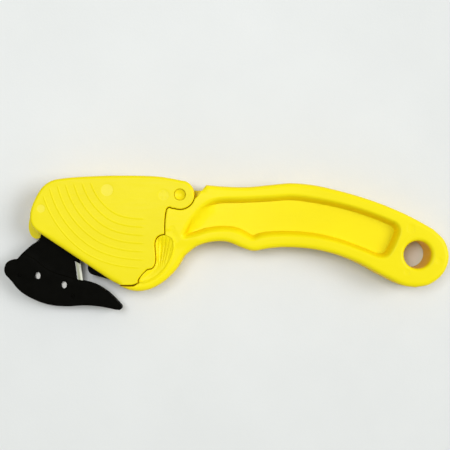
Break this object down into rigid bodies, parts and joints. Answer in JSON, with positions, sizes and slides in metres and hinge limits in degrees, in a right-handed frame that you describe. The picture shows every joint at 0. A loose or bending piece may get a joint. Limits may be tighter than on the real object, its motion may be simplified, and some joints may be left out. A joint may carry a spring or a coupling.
{
  "type": "hooked safety cutter",
  "caption": "Hand-held hooked safety cutter with an S-curved moulded grip, a swinging head cover and a beaked blade cartridge with a narrow cutting throat.",
  "frame": {"origin": "below the centre of the tool's bounding box, on the plane that its back lies on", "axes": "+X along the tool towards the hanging hole, +Y from the beak side to the hinge side, +Z out of the front face; the cover's hinge axis is parallel to Z"},
  "size_m": [0.2, 0.0606, 0.0156],
  "materials": {
    "handle_plastic": "yellow moulded plastic, satin to semi-gloss",
    "cover_plastic": "yellow moulded plastic, satin to semi-gloss",
    "hinge_plastic": "yellow moulded plastic, satin",
    "cartridge_plastic": "black moulded plastic, matte",
    "blade_steel": "ground blade steel with a bright bevel",
    "spring_steel": "bright spring steel",
    "pin_steel": "turned steel"
  },
  "bodies": {
    "handle": {"handle_body": "handle_plastic", "hinge_pin": "hinge_plastic", "hinge_pin_cap": "hinge_plastic", "hinge_friction_washer": "spring_steel", "cartridge_back_shell": "cartridge_plastic", "cartridge_front_shell": "cartridge_plastic", "cartridge_rivet_lobe": "cartridge_plastic", "cartridge_rivet_belly": "cartridge_plastic", "cartridge_rivet_neck": "cartridge_plastic", "cartridge_rivet_heel": "cartridge_plastic", "blade": "blade_steel", "blade_pin_lower": "pin_steel", "blade_pin_upper": "pin_steel", "cartridge_dowel_front": "pin_steel", "cartridge_dowel_rear": "pin_steel"},
    "cover": {"head_cover": "cover_plastic"}
  },
  "joints": [
    {"name": "cover_hinge", "type": "hinge", "parent": "handle", "child": "cover", "pos_m": [-0.0201, 0.0218, 0.0078], "axis": [0, 0, -1], "range_deg": [0, 98]}
  ]
}
